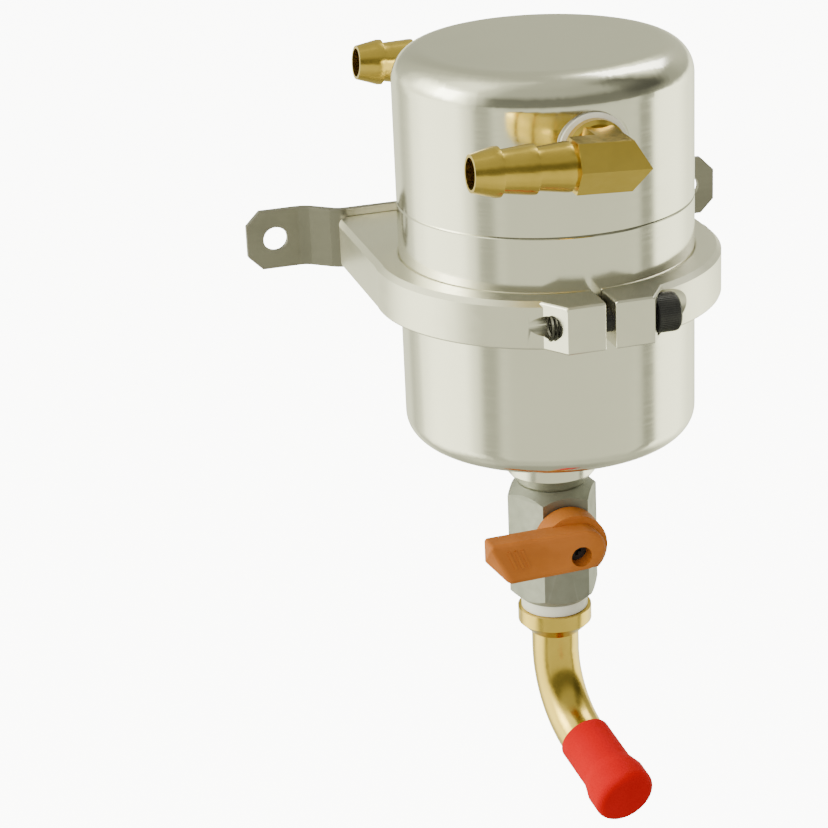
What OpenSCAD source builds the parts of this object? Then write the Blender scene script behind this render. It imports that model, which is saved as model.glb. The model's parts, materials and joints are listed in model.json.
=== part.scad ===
/* [Can] */
// Outside diameter of the cup and the lid
can_d = 79.4; // [77:0.2:84]
// Wall thickness of the cup and the lid
can_wall = 3.2; // [3:0.1:3.8]
// Height of the cup from its flat underside to the seam with the lid
cup_h = 66.3; // [60:0.1:90]
// Thickness of the cup's floor
floor_t = 4; // [3:0.1:5]
// Radius of the round lower edge of the cup
cup_round = 6.4; // [5:0.1:8]
// Height of the lid above the seam
lid_h = 41.2; // [40:0.1:50]
// Thickness of the lid's top
lid_top_t = 4; // [3.4:0.1:5]
// Radius of the round upper edge of the lid
lid_round = 8.7; // [6:0.1:9]
// Height of the cup's threaded neck above the seam
neck_h = 10; // [9:0.1:11]
// Wall thickness of the lid's skirt around the neck
skirt_wall = 1.6; // [1.4:0.05:1.7]
// Chamfer on both edges of the seam
seam_chamfer = 0.35; // [0.2:0.05:0.5]
// Depth of the step in the neck that carries the baffle plate
ledge_h = 2; // [1.6:0.1:2.6]
// Width of that step
ledge_w = 0.6; // [0.5:0.05:0.7]
// Diameter of the lid seal's cord
seal_d = 1.5; // [1.2:0.05:1.55]

/* [Drain boss] */
// Diameter of the boss under the cup
boss_d = 25; // [23:0.1:28]
// Height of the boss under the cup
boss_h = 16.7; // [15:0.1:18]
// Height of the cone at the boss's lower end
boss_cone_h = 4; // [3:0.1:5]
// Diameter of the boss's lower face
boss_end_d = 18.6; // [18:0.1:21]
// Diameter of the drain hole in the floor
drain_hole_d = 8; // [6:0.1:10]

/* [Baffle] */
// Thickness of the baffle plate
baffle_t = 1.5; // [1:0.1:1.9]
// Diameter of the holes in the baffle plate
baffle_hole_d = 3; // [2:0.1:3.4]
// Distance between the rings of holes in the baffle plate
baffle_pitch = 5.6; // [5:0.1:6]
// Diameter of the steel mesh pad
pad_d = 56; // [50:0.5:58]
// Thickness of the steel mesh pad
pad_h = 13; // [8:0.5:15]

/* [Ports] */
// Height of the front port above the seam
front_port_z = 22.5; // [20:0.1:24]
// Height of the rear port above the seam
rear_port_z = 24.4; // [20:0.1:24.5]
// Diameter of the spot faces around the ports
spot_d = 19.8; // [19:0.1:20.4]
// Depth of the spot faces, measured from the outermost line of the wall
spot_depth = 1.4; // [1.3:0.05:1.5]
// Diameter of the weld bungs inside the lid
bung_d = 17; // [16:0.1:18]
// Length of the weld bungs inside the lid
bung_l = 5; // [4:0.1:6]

/* [Hose elbows] */
// Diameter of the fittings' threaded shanks
shank_d = 13; // [12:0.1:13.4]
// Length of the elbow's shank beyond the washer
shank_l = 7.5; // [6:0.1:8]
// Outside diameter of the port washers
washer_d = 18.4; // [17:0.1:18.6]
// Thickness of the port washers
washer_t = 1.2; // [1:0.1:1.8]
// Diameter of the elbow's round collar
collar_d = 15.8; // [15:0.1:16.8]
// Height of the elbow's round collar with its bevel
collar_h = 3; // [2.4:0.1:3.6]
// Distance across the flats of the elbow's hexagon body
elbow_af = 12.8; // [12:0.1:13.4]
// Distance from the collar's seat to the barb's axis
elbow_reach = 14; // [12:0.1:15]
// Distance from the port's axis to the end of the hexagon body
elbow_body_l = 10.7; // [9:0.1:12]
// Distance from the port's axis to the barb's tip
barb_l = 36.7; // [35:0.1:42]
// Length of the barb's tip, from its last crest's ramp to its end
barb_tip_l = 8; // [7:0.1:9]
// Diameter over the barb's crests
crest_d = 12.5; // [12:0.1:13]
// Diameter between the barb's crests
root_d = 10.8; // [10.4:0.1:11.4]
// Diameter of the barb's tip
tip_d = 9.4; // [9.2:0.1:10]
// Bore of the barb
barb_bore_d = 7.8; // [6:0.1:8]
// Bore of the shank
shank_bore_d = 8; // [6:0.1:9]
// Upward tilt of the front barb
front_tilt = 2.7; // [-10:0.1:10]
// Upward tilt of the rear barb
rear_tilt = 5; // [-10:0.1:10]

/* [Clamp] */
// Height of the clamp
clamp_h = 12.7; // [12.5:0.1:16]
// Wall thickness of the clamp ring
clamp_wall = 7.05; // [6.5:0.05:9]
// Height of the seam above the clamp's top
seam_rise = 14.45; // [11:0.05:20]
// Width of the split
split_w = 2.5; // [1.5:0.1:3.5]
// Half width of the block's flat front
block_half_w = 11.65; // [11.2:0.05:12.6]
// How far the block stands out of the ring
block_out = 3.7; // [3.4:0.05:4.4]
// Depth of the slanted facets beside the block
facet_depth = 7.4; // [7:0.1:9]
// Width of the slanted facets beside the block
facet_w = 4.85; // [4.4:0.05:5.4]
// Chamfer along the clamp's upper edge
clamp_chamfer = 1.3; // [0.8:0.1:1.6]
// Chamfer along the upper edge of the block
block_chamfer = 0.5; // [0.3:0.1:1]
// Radius of the clamp's two rear corners
corner_r = 5; // [2:0.1:6]

/* [Clamp screw] */
// Diameter of the clamp screw
screw_d = 6; // [5:0.1:6.2]
// Diameter of the clamp screw's head
screw_head_d = 10; // [9.6:0.1:10.6]
// Height of the clamp screw's head
screw_head_h = 6.2; // [5:0.1:6.6]
// Distance from the split's middle to the head's seat
screw_seat = 13; // [12.6:0.1:14]
// Length of the clamp screw under its head
screw_l = 22; // [20:0.1:25]
// Distance across the flats of the clamp screw's socket
screw_socket = 5; // [4:0.1:5.5]

/* [Bracket strap] */
// Thickness of the strap
strap_t = 2; // [1.6:0.1:2.6]
// Height of the strap
strap_h = 17; // [14:0.1:20]
// Distance between the two ear holes
ear_spacing = 125; // [122:0.5:140]
// Diameter of the ear holes
ear_hole_d = 7; // [5:0.1:7.5]
// Distance from an ear hole to the ear's end
ear_end = 8.2; // [7.5:0.1:10]
// Chamfer at the ears' corners
ear_chamfer = 4; // [2:0.1:5]
// Distance from an ear hole to the bend
ear_flat = 6.6; // [5.5:0.1:8]
// Distance from the strap's middle run back to the ears
strap_jog = 7; // [6:0.1:12]
// Angle of the strap's bends
jog_angle = 40; // [35:1:60]
// Radius of the bends along the strap's middle line
jog_r = 6; // [3.2:0.1:7]
// Distance from the middle to each of the strap's screws
strap_screw_x = 30; // [26:0.5:34]
// Diameter of the strap's screws
strap_screw_d = 5; // [4:0.1:5.5]
// Diameter of the strap's screw heads
strap_head_d = 9.5; // [8.6:0.1:10]
// Height of the strap's screw heads
strap_head_h = 2.75; // [2.2:0.05:3]
// Length of the strap's screws in the clamp
strap_screw_l = 10; // [8:0.5:12]

/* [Valve] */
// Distance across the flats of the valve's hexagon body
valve_af = 22.7; // [22:0.1:24]
// Height of the valve's hexagon body
valve_h = 35.1; // [34.5:0.1:42]
// Distance from the top of the hexagon body to the stem's axis
stem_drop = 13.35; // [13:0.05:15]
// Width of the turned cone at the hexagon's ends, measured at the corners
valve_cone_w = 3.4; // [2:0.1:3.6]
// Height of that cone
valve_cone_h = 3; // [2:0.1:4]
// Length of the threaded shank on top
valve_shank_l = 11; // [8:0.1:11.3]
// Bore through the valve
valve_bore_d = 8; // [6:0.1:8.4]
// Diameter of the chamber for the ball and its seats
chamber_d = 18; // [17.6:0.1:18.6]
// Diameter of the ball
ball_d = 15.6; // [15.2:0.1:16]
// Half height of the stack of the ball and its two seats
seat_stack = 8; // [7.9:0.05:8.4]
// Thickness of the retainer's end wall
retainer_wall = 2.5; // [2:0.1:3]
// Diameter of the stem
stem_d = 6; // [5.4:0.1:6.4]
// Diameter of the stem's inner flange
stem_flange_d = 8; // [7.4:0.1:9]
// Diameter of the stem's boss on the body
stem_boss_d = 11; // [10:0.1:12]
// Height of the stem's boss on the body
stem_boss_h = 2.6; // [2:0.1:3]
// Distance across the flats at the stem's outer end
stem_af = 4.4; // [3.8:0.1:4.8]
// Width of the ball's slot
slot_w = 3; // [2.6:0.1:3.4]
// Depth of the ball's slot
slot_depth = 1.8; // [1.4:0.1:2.2]
// Cord diameter of the stem's seal
stem_seal_d = 0.8; // [0.7:0.05:0.9]

/* [Lever] */
// Distance from the valve's axis to the lever's front face
lever_front = 24.4; // [23:0.1:26]
// Thickness of the lever
lever_t = 7; // [6:0.1:8]
// Height of the lever
lever_h = 11.6; // [10.6:0.1:13]
// Height of the lever's middle line above the stem
lever_rise = 1.45; // [0:0.05:1.5]
// Reach of the lever's upper corner
lever_l = 25.8; // [23:0.1:30]
// How far the lever's lower corner stands back from the upper one
lever_slant = 4.2; // [0:0.1:6]
// Reach of the lever's round end beyond the stem
lever_nose = 7.2; // [6.4:0.1:8]
// How far the lever's end hangs lower than its nose
lever_drop = 1.1; // [0:0.1:2]
// Rise of the lever's underside towards the back
lever_undercut = 4; // [0:0.1:5]
// Rounding of the lever's edges
lever_round = 1.1; // [0.6:0.1:1.5]
// Diameter of the lever's hub
hub_d = 19.2; // [17:0.1:21]
// How far the hub's flat underside lies below the stem
hub_drop = 6.7; // [6.4:0.1:8]
// Diameter of the screw recess in the lever
recess_d = 5.8; // [5.4:0.1:6.4]
// Depth of that recess
recess_depth = 6; // [4:0.1:6.2]
// Diameter of the handle screw's head
pan_d = 5.4; // [4.6:0.1:5.6]
// Height of the handle screw's head
pan_h = 1.6; // [1.2:0.1:2]
// Diameter of the handle screw
pan_screw_d = 3; // [2.5:0.1:3.2]
// Length of the handle screw under its head
pan_screw_l = 7; // [6:0.1:8]

/* [Drain elbow] */
// Diameter of the drain washer
drain_washer_d = 18.8; // [18:0.1:19.5]
// Thickness of the drain washer
drain_washer_t = 3.5; // [3:0.1:5]
// Diameter of the drain elbow's collar
drain_collar_d = 20.9; // [20:0.1:22]
// Height of the collar's straight part
drain_collar_h = 4.2; // [2:0.1:5]
// Height of the collar's cone
drain_cone_h = 3.4; // [2.6:0.1:5]
// Outside diameter of the drain tube
tube_d = 13.4; // [12.6:0.1:14]
// Wall thickness of the drain tube
tube_wall = 1.4; // [1:0.1:2]
// Straight length between the collar and the bend
tube_drop = 6; // [4:0.1:10]
// Radius of the bend along the tube's middle line
bend_r = 23; // [20:0.5:30]
// Angle of the bend
bend_angle = 74; // [60:1:90]
// Thinning of the drain tube's wall and of the strap in their bends, on each side
bend_thin = 0.02; // [0.01:0.01:0.1]
// Straight length beyond the bend
tube_end_l = 22; // [18:0.1:26]
// Turn of the drain elbow about the can's axis
drain_turn = 8.8; // [-30:0.1:30]

/* [Drain cap] */
// Wall thickness of the cap's sleeve
cap_wall = 0.8; // [0.6:0.05:1.2]
// Overall length of the cap
cap_l = 25.2; // [24:0.1:30]
// Diameter over the cap's thick end
cap_end_d = 17.6; // [16.8:0.1:19]
// Length of the cap's thick end
cap_end_l = 7; // [6.4:0.1:9]
// Length of the taper between the sleeve and the thick end
cap_taper_l = 4.5; // [2:0.1:5]
// Radius of the cap's round end
cap_end_round = 2.3; // [1.5:0.1:5]
// Distance from the bend to the cap's mouth
cap_start = 0.4; // [0.2:0.1:2]

/* [Fits] */
// Radial clearance of parts that turn or slide in each other
run_gap = 0.05; // [0.04:0.01:0.09]
// Radial clearance around screws and threaded shanks
thread_gap = 0.1; // [0.08:0.01:0.15]
// Clearance of loose parts that lie in a seat
loose_gap = 0.1; // [0.08:0.01:0.2]
// Clearance between a moving face and the face beside it
face_gap = 0.4; // [0.3:0.05:0.5]

/* [Hidden] */
$fn = 96;

can_r = can_d / 2;
inner_r = can_r - can_wall;
neck_r = can_r - skirt_wall - run_gap;
ledge_r = inner_r + ledge_w;
bore_r = can_r + run_gap;
clamp_r = bore_r + clamp_wall;
side_x = clamp_r - 0.2;
back_y = clamp_r + 0.2;
block_y = clamp_r + block_out;
screw_y = bore_r + screw_d / 2 + 2.9;
main_y = back_y + strap_t;
axis_y = main_y + strap_jog;
seam_z = clamp_h / 2 + seam_rise;
cup_inner_round = cup_round - can_wall;
lid_inner_round = lid_round - can_wall;
seat_y = can_r - spot_depth;
elbow_corner = elbow_af / sqrt(3);
cut_block = 4 * barb_l;
valve_top = -cup_h - boss_h;
valve_bottom = valve_top - valve_h;
stem_z = valve_top - stem_drop;
seat_gap = stem_flange_d / 2 + loose_gap;
valve_half = valve_af / 2;
valve_corner = valve_af / sqrt(3);
chamber_r = chamber_d / 2;
ball_r = ball_d / 2;
retainer_top = stem_z - seat_stack;
flange_y = chamber_r + 0.6;
boss_y = valve_half + stem_boss_h;
hub_y = valve_half + face_gap;
lever_back = lever_front - lever_t;
recess_y = lever_front - recess_depth;
drain_z = valve_bottom - drain_washer_t;
tube_top = drain_z - drain_collar_h - drain_cone_h;
bend_z = tube_top - tube_drop;
bend_lap = acos(1 - bend_thin / (2 * bend_r)) / 2;
strap_lap = acos(1 - bend_thin / (2 * jog_r)) / 2;
tube_r = tube_d / 2;
cap_bore_r = tube_r + run_gap;
cap_r = cap_bore_r + cap_wall;
thread_r = shank_d / 2 + thread_gap;
jog_run = (strap_jog - 2 * jog_r * (1 - cos(jog_angle))) / sin(jog_angle);
jog_len = 2 * jog_r * sin(jog_angle) + jog_run * cos(jog_angle);
ear_x = ear_spacing / 2;
ear_start = ear_x - ear_flat;
main_x = ear_start - jog_len;

// Moves its children from the origin on the ears' back to the can's axis at the seam.
module on_can() {
    translate([0, -axis_y, seam_z]) children();
}

// A round-edged profile of radius r from 0 up to h, for a body of revolution.
module dome_profile(r, h, edge) {
    square([r - edge, h]);
    square([r, h - edge]);
    translate([r - edge, h - edge]) intersection() {
        circle(edge);
        square([edge, edge]);
    }
}

// The can's outer profile from the seam to one end, with the seam's small chamfer.
module wall_profile(h, edge) {
    difference() {
        dome_profile(can_r, h, edge);
        translate([can_r, 0]) polygon([[-seam_chamfer, 0], [-seam_chamfer, -1], [1, -1],
                                       [1, seam_chamfer + 1], [0, seam_chamfer]]);
    }
}

// A cylinder that runs from y0 to y1 along Y.
module along_y(r, y0, y1) {
    translate([0, y1, 0]) rotate([90, 0, 0]) cylinder(r = r, h = y1 - y0);
}

// A cylinder that runs from x0 to x1 along X.
module along_x(r, x0, x1) {
    translate([x0, 0, 0]) rotate([0, 90, 0]) cylinder(r = r, h = x1 - x0);
}

// A flat ring of thickness t that stands on z = 0.
module ring(r_out, r_in, t) {
    difference() {
        cylinder(r = r_out, h = t);
        translate([0, 0, -1]) cylinder(r = r_in, h = t + 2);
    }
}

// A hexagon prism of the given distance across flats that stands on z = 0.
module hexagon(af, h) {
    cylinder(r = af / sqrt(3), h = h, $fn = 6);
}

// One bend of the strap: a ring sector that starts at angle a0 and laps into both its neighbours.
module strap_bend(a0) {
    reach = 2 * jog_r + 2 * strap_t;
    from = a0 - strap_lap;
    to = a0 + jog_angle + strap_lap;
    intersection() {
        difference() {
            circle(jog_r + strap_t / 2 - bend_thin);
            circle(jog_r - strap_t / 2 + bend_thin);
        }
        polygon([[0, 0], [reach * cos(from), reach * sin(from)],
                 [reach * cos((from + to) / 2), reach * sin((from + to) / 2)],
                 [reach * cos(to), reach * sin(to)]]);
    }
}

// Half of the strap in plan, from its middle to one ear.
module half_strap_plan() {
    translate([0, -strap_jog - strap_t]) square([main_x, strap_t]);
    translate([main_x, -strap_jog - strap_t / 2 + jog_r]) strap_bend(-90);
    translate([main_x + jog_r * sin(jog_angle),
               -strap_jog - strap_t / 2 + jog_r * (1 - cos(jog_angle))])
        rotate(jog_angle) translate([0, -strap_t / 2]) square([jog_run, strap_t]);
    translate([ear_start, -strap_t / 2 - jog_r]) strap_bend(90);
    translate([ear_start, -strap_t]) square([ear_flat + ear_end, strap_t]);
}

module bracket_strap() {
    color([0.55, 0.54, 0.48]) difference() {
        for (side = [0, 1]) mirror([side, 0, 0])
            translate([0, 0, -strap_h / 2]) linear_extrude(strap_h) half_strap_plan();
        for (side = [-1, 1]) {
            translate([side * ear_x, 0, 0]) along_y(ear_hole_d / 2, -strap_t - 1, 1);
            translate([side * strap_screw_x, 0, 0])
                along_y(strap_screw_d / 2 + thread_gap, -strap_jog - strap_t - 1, -strap_jog + 1);
            for (end = [-1, 1])
                translate([side * (ear_x + ear_end), -strap_t - 1, end * strap_h / 2])
                    rotate([-90, 0, 0]) linear_extrude(strap_t + 2)
                        rotate(45) square(ear_chamfer * sqrt(2), center = true);
        }
    }
}

module strap_screws() {
    color([0.72, 0.72, 0.7]) for (side = [-1, 1])
        translate([side * strap_screw_x, -strap_jog, 0]) rotate([-90, 0, 0])
            difference() {
                union() {
                    rotate_extrude() intersection() {
                        translate([0, strap_head_h - strap_head_d]) circle(strap_head_d);
                        square([strap_head_d / 2, strap_head_h]);
                    }
                    translate([0, 0, -strap_t - strap_screw_l])
                        cylinder(r = strap_screw_d / 2, h = strap_t + strap_screw_l);
                }
                translate([0, 0, strap_head_h / 3]) hexagon(3, strap_head_h);
            }
}

// The clamp's plan without its front block: a half round with a square back.
module clamp_plan() {
    circle(clamp_r);
    translate([-side_x, 0]) square([2 * side_x, back_y - corner_r]);
    translate([-side_x + corner_r, 0]) square([2 * (side_x - corner_r), back_y]);
    for (side = [-1, 1])
        translate([side * (side_x - corner_r), back_y - corner_r]) circle(corner_r);
}

// The block at the split, with a slanted facet on each side.
module block_plan() {
    inner_y = block_y - facet_depth - 2.6;
    polygon([[-block_half_w - facet_w, -block_y + facet_depth], [-block_half_w, -block_y],
             [block_half_w, -block_y], [block_half_w + facet_w, -block_y + facet_depth],
             [block_half_w, -inner_y], [-block_half_w, -inner_y]]);
}

// A wedge of a chamfer c wide that runs along +X from the origin.
module edge_wedge(length, c) {
    rotate([90, 0, 90]) linear_extrude(length)
        polygon([[-1, 1], [-1, -c - 1], [c + 1, 1]]);
}

module clamp_blank() {
    top = clamp_h / 2;
    difference() {
        translate([0, 0, -top]) linear_extrude(clamp_h) clamp_plan();
        rotate([0, 0, 180]) rotate_extrude(angle = 180)
            translate([clamp_r, top])
                polygon([[-clamp_chamfer - 1, 1], [1, 1], [1, -clamp_chamfer - 1]]);
        for (side = [0, 1]) mirror([side, 0, 0])
            translate([side_x, 0, top]) rotate([0, 0, 90]) edge_wedge(back_y + 1, clamp_chamfer);
    }
    difference() {
        translate([0, 0, -top]) linear_extrude(clamp_h) block_plan();
        translate([-block_half_w - 1, -block_y, top]) edge_wedge(2 * block_half_w + 2, block_chamfer);
    }
}

module clamp_ring() {
    color([0.84, 0.83, 0.78]) translate([0, -axis_y, 0]) difference() {
        clamp_blank();
        translate([0, 0, -clamp_h]) cylinder(r = bore_r, h = 2 * clamp_h, $fn = 180);
        translate([-split_w / 2, -block_y - 1, -clamp_h]) cube([split_w, block_y, 2 * clamp_h]);
        translate([0, -screw_y, 0]) {
            along_x(screw_d / 2 + thread_gap, -clamp_r, screw_seat + 1);
            along_x(screw_head_d / 2 + 0.7, screw_seat, clamp_r);
        }
        for (side = [-1, 1]) translate([side * strap_screw_x, 0, 0])
            along_y(strap_screw_d / 2 + thread_gap, back_y - strap_screw_l - 1, back_y + 1);
    }
}

module clamp_screw() {
    bevel = 0.5;
    color([0.1, 0.1, 0.1]) translate([screw_seat, -axis_y - screw_y, 0]) rotate([0, 90, 0])
        difference() {
            union() {
                cylinder(r = screw_head_d / 2, h = screw_head_h - bevel);
                translate([0, 0, screw_head_h - bevel])
                    cylinder(r1 = screw_head_d / 2, r2 = screw_head_d / 2 - bevel, h = bevel);
                translate([0, 0, -screw_l]) cylinder(r = screw_d / 2, h = screw_l);
            }
            translate([0, 0, screw_head_h / 2]) hexagon(screw_socket, screw_head_h);
        }
}

module can_body() {
    color([0.86, 0.85, 0.8]) on_can() difference() {
        union() {
            mirror([0, 0, 1]) rotate_extrude($fn = 180) wall_profile(cup_h, cup_round);
            translate([0, 0, -1]) cylinder(r = neck_r, h = neck_h + 1, $fn = 180);
            translate([0, 0, -cup_h - boss_h + boss_cone_h])
                cylinder(r = boss_d / 2, h = boss_h - boss_cone_h + 1);
            translate([0, 0, -cup_h - boss_h])
                cylinder(r1 = boss_end_d / 2, r2 = boss_d / 2, h = boss_cone_h);
        }
        translate([0, 0, neck_h + 1]) mirror([0, 0, 1]) rotate_extrude($fn = 180)
            dome_profile(inner_r, neck_h + 1 + cup_h - floor_t, cup_inner_round);
        translate([0, 0, neck_h - ledge_h]) cylinder(r = ledge_r, h = ledge_h + 1, $fn = 180);
        translate([0, 0, -cup_h - boss_h - 1]) {
            cylinder(r = drain_hole_d / 2, h = boss_h + floor_t + 3);
            cylinder(r = thread_r, h = valve_shank_l + 1 + 0.5);
        }
    }
}

module baffle_plate() {
    rings = floor((ledge_r - 2 * baffle_hole_d) / baffle_pitch);
    color([0.78, 0.78, 0.76]) on_can() translate([0, 0, neck_h - ledge_h]) difference() {
        cylinder(r = ledge_r - loose_gap, h = baffle_t);
        translate([0, 0, -1]) cylinder(r = baffle_hole_d / 2, h = baffle_t + 2);
        for (k = [1 : rings], i = [0 : 6 * k - 1])
            rotate(i * 60 / k) translate([k * baffle_pitch, 0, -1])
                cylinder(r = baffle_hole_d / 2, h = baffle_t + 2, $fn = 24);
    }
}

module mesh_pad() {
    bevel = 1.5;
    color([0.6, 0.6, 0.58]) on_can() translate([0, 0, neck_h - ledge_h + baffle_t]) {
        cylinder(r = pad_d / 2, h = pad_h - bevel);
        translate([0, 0, pad_h - bevel])
            cylinder(r1 = pad_d / 2, r2 = pad_d / 2 - bevel, h = bevel);
    }
}

// The cuts of one port in the lid, with its axis along -Y.
module port_cuts() {
    along_y(spot_d / 2, -can_r - spot_d, -seat_y);
    along_y(thread_r, -can_r, -inner_r + bung_l + 1);
}

module can_lid() {
    color([0.86, 0.85, 0.8]) on_can() difference() {
        union() {
            difference() {
                rotate_extrude($fn = 180) wall_profile(lid_h, lid_round);
                translate([0, 0, -1]) rotate_extrude($fn = 180)
                    dome_profile(inner_r, lid_h - lid_top_t + 1, lid_inner_round);
                translate([0, 0, -1])
                    cylinder(r = neck_r + run_gap, h = neck_h + seal_d + loose_gap + 1, $fn = 180);
            }
            translate([0, 0, front_port_z]) along_y(bung_d / 2, -inner_r - 1, -inner_r + bung_l);
            translate([0, 0, rear_port_z]) along_y(bung_d / 2, inner_r - bung_l, inner_r + 1);
        }
        translate([0, 0, front_port_z]) port_cuts();
        translate([0, 0, rear_port_z]) rotate([0, 0, 180]) port_cuts();
    }
}

module lid_o_ring() {
    color([0.12, 0.12, 0.12]) on_can() translate([0, 0, neck_h + (seal_d + loose_gap) / 2])
        rotate_extrude() translate([neck_r + run_gap - loose_gap - seal_d / 2, 0])
            circle(seal_d / 2, $fn = 32);
}

// Profile of the hose barb: three crests with a ramp before each, drawn along +Y.
module barb_profile() {
    crest_pitch = (barb_l - elbow_body_l - barb_tip_l) / 2;
    first = elbow_body_l + 0.9;
    step = (crest_d - root_d) / 2;
    polygon([[0, elbow_body_l - 1], [root_d / 2, elbow_body_l - 1], [root_d / 2, first],
             [crest_d / 2, first + 0.1], [crest_d / 2, first + 1],
             [root_d / 2, first + crest_pitch - step], [root_d / 2, first + crest_pitch],
             [crest_d / 2, first + crest_pitch + 0.1], [crest_d / 2, first + crest_pitch + 1],
             [root_d / 2, first + 2 * crest_pitch - step], [root_d / 2, first + 2 * crest_pitch],
             [crest_d / 2, first + 2 * crest_pitch + 0.1],
             [crest_d / 2, first + 2 * crest_pitch + 1.2], [tip_d / 2, barb_l], [0, barb_l]]);
}

// A brass elbow with its seat at y = 0, its shank along +Y and its barb along -X.
module hose_elbow() {
    bevel = 1;
    difference() {
        union() {
            along_y(shank_d / 2, -1, shank_l + washer_t);
            rotate([90, 0, 0]) {
                cylinder(r = collar_d / 2, h = collar_h - bevel);
                translate([0, 0, collar_h - bevel])
                    cylinder(r1 = collar_d / 2, r2 = collar_d / 2 - bevel, h = bevel);
            }
            intersection() {
                rotate([90, 0, 0]) hexagon(elbow_af, elbow_reach + 2 * elbow_corner);
                translate([0, -elbow_reach, 0]) rotate([0, 0, 45])
                    translate([0, -cut_block / 2, -cut_block / 2]) cube(cut_block);
            }
            translate([0, -elbow_reach, 0]) intersection() {
                translate([-elbow_body_l, 0, 0]) rotate([0, 90, 0]) rotate([0, 0, 30])
                    hexagon(elbow_af, elbow_body_l + 2 * elbow_corner);
                rotate([0, 0, 45])
                    translate([-cut_block, -cut_block / 2, -cut_block / 2]) cube(cut_block);
            }
            translate([0, -elbow_reach, 0]) rotate([0, -90, 0])
                rotate_extrude() barb_profile();
        }
        along_y(shank_bore_d / 2, -elbow_reach - 1, shank_l + washer_t + 1);
        translate([0, -elbow_reach, 0]) along_x(barb_bore_d / 2, -barb_l - 1, 1.5);
    }
}

module inlet_elbow() {
    color([0.77, 0.63, 0.3]) on_can() translate([0, -seat_y - washer_t, front_port_z])
        rotate([0, front_tilt, 0]) hose_elbow();
}

module outlet_elbow() {
    color([0.77, 0.63, 0.3]) on_can() translate([0, seat_y + washer_t, rear_port_z])
        rotate([0, rear_tilt, 0]) rotate([180, 0, 0]) hose_elbow();
}

module inlet_washer() {
    color([0.93, 0.92, 0.88]) on_can() translate([0, -seat_y, front_port_z])
        rotate([90, 0, 0]) ring(washer_d / 2, thread_r, washer_t);
}

module outlet_washer() {
    color([0.93, 0.92, 0.88]) on_can() translate([0, seat_y, rear_port_z])
        rotate([-90, 0, 0]) ring(washer_d / 2, thread_r, washer_t);
}

// The turned envelope that cuts cones on the hexagon body's two ends.
module valve_envelope() {
    rotate_extrude() polygon([[0, valve_bottom], [valve_corner - valve_cone_w, valve_bottom],
        [valve_corner + 0.5, valve_bottom + valve_cone_h * (1 + 0.5 / valve_cone_w)],
        [valve_corner + 0.5, valve_top - valve_cone_h * (1 + 0.5 / valve_cone_w)],
        [valve_corner - valve_cone_w, valve_top], [0, valve_top]]);
}

module valve_body() {
    color([0.74, 0.74, 0.7]) on_can() difference() {
        union() {
            intersection() {
                translate([0, 0, valve_bottom - 1]) hexagon(valve_af, valve_h + 2);
                valve_envelope();
            }
            translate([0, 0, valve_top - 1]) cylinder(r = shank_d / 2, h = valve_shank_l + 1);
            translate([0, 0, stem_z]) along_y(stem_boss_d / 2, -boss_y, -valve_half + 1);
        }
        translate([0, 0, valve_bottom - 1]) cylinder(r = valve_bore_d / 2, h = 3 * valve_h);
        translate([0, 0, valve_bottom - 1])
            cylinder(r = chamber_r, h = stem_z + seat_stack - valve_bottom + 1);
        translate([0, 0, stem_z]) {
            along_y(stem_d / 2 + run_gap, -boss_y - 1, 0);
            along_y(stem_flange_d / 2 + loose_gap, -flange_y, 0);
        }
    }
}

// A seat ring above the ball; the lower one is its mirror image.
module seat_ring() {
    difference() {
        translate([0, 0, seat_gap])
            ring(chamber_r - run_gap, valve_bore_d / 2 + 0.5, seat_stack - seat_gap);
        sphere(r = ball_r + loose_gap);
    }
}

module upper_seat() {
    color([0.95, 0.95, 0.92]) on_can() translate([0, 0, stem_z]) seat_ring();
}

module lower_seat() {
    color([0.95, 0.95, 0.92]) on_can() translate([0, 0, stem_z]) mirror([0, 0, 1]) seat_ring();
}

module valve_ball() {
    color([0.8, 0.8, 0.78]) on_can() translate([0, 0, stem_z]) difference() {
        rotate([0, 90, 0]) rotate_extrude() difference() {
            intersection() {
                circle(ball_r);
                translate([0, -ball_r - 1]) square([ball_r + 1, 2 * ball_r + 2]);
            }
            translate([0, -ball_r - 1]) square([valve_bore_d / 2, 2 * ball_r + 2]);
        }
        translate([-ball_r - 1, -ball_r - 1, -slot_w / 2])
            cube([2 * ball_r + 2, slot_depth + 1, slot_w]);
    }
}

module valve_retainer() {
    depth = retainer_top - valve_bottom;
    color([0.74, 0.74, 0.7]) on_can() translate([0, 0, valve_bottom]) difference() {
        cylinder(r = chamber_r - run_gap, h = depth);
        translate([0, 0, -1]) {
            cylinder(r = valve_bore_d / 2, h = depth + 2);
            cylinder(r = thread_r, h = depth - retainer_wall + 1);
        }
    }
}

module valve_stem() {
    tang_y = ball_r - slot_depth + loose_gap;
    flange_in = ball_r + 0.2;
    flat_y = boss_y + 0.6;
    groove_r = stem_d / 2 - stem_seal_d - loose_gap;
    groove_y = boss_y - 2.2;
    color([0.7, 0.66, 0.5]) on_can() translate([0, 0, stem_z]) difference() {
        union() {
            along_y(stem_d / 2, -flat_y, -flange_in);
            along_y(stem_flange_d / 2, -flange_y + loose_gap, -flange_in);
            intersection() {
                along_y(stem_d / 2, -recess_y, -flange_in);
                translate([-stem_d, -recess_y, -stem_af / 2]) cube([2 * stem_d, recess_y, stem_af]);
            }
            intersection() {
                along_y(stem_flange_d / 2, -flange_in - 0.5, -tang_y);
                translate([-stem_d, -flange_in - 0.5, -slot_w / 2 + loose_gap])
                    cube([2 * stem_d, flange_in, slot_w - 2 * loose_gap]);
            }
        }
        difference() {
            along_y(stem_d, -groove_y - stem_seal_d - loose_gap, -groove_y);
            along_y(groove_r, -boss_y, -groove_y + 1);
        }
        along_y(pan_screw_d / 2 + thread_gap, -recess_y - 1, -recess_y + pan_screw_l + 0.5);
    }
}

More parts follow.
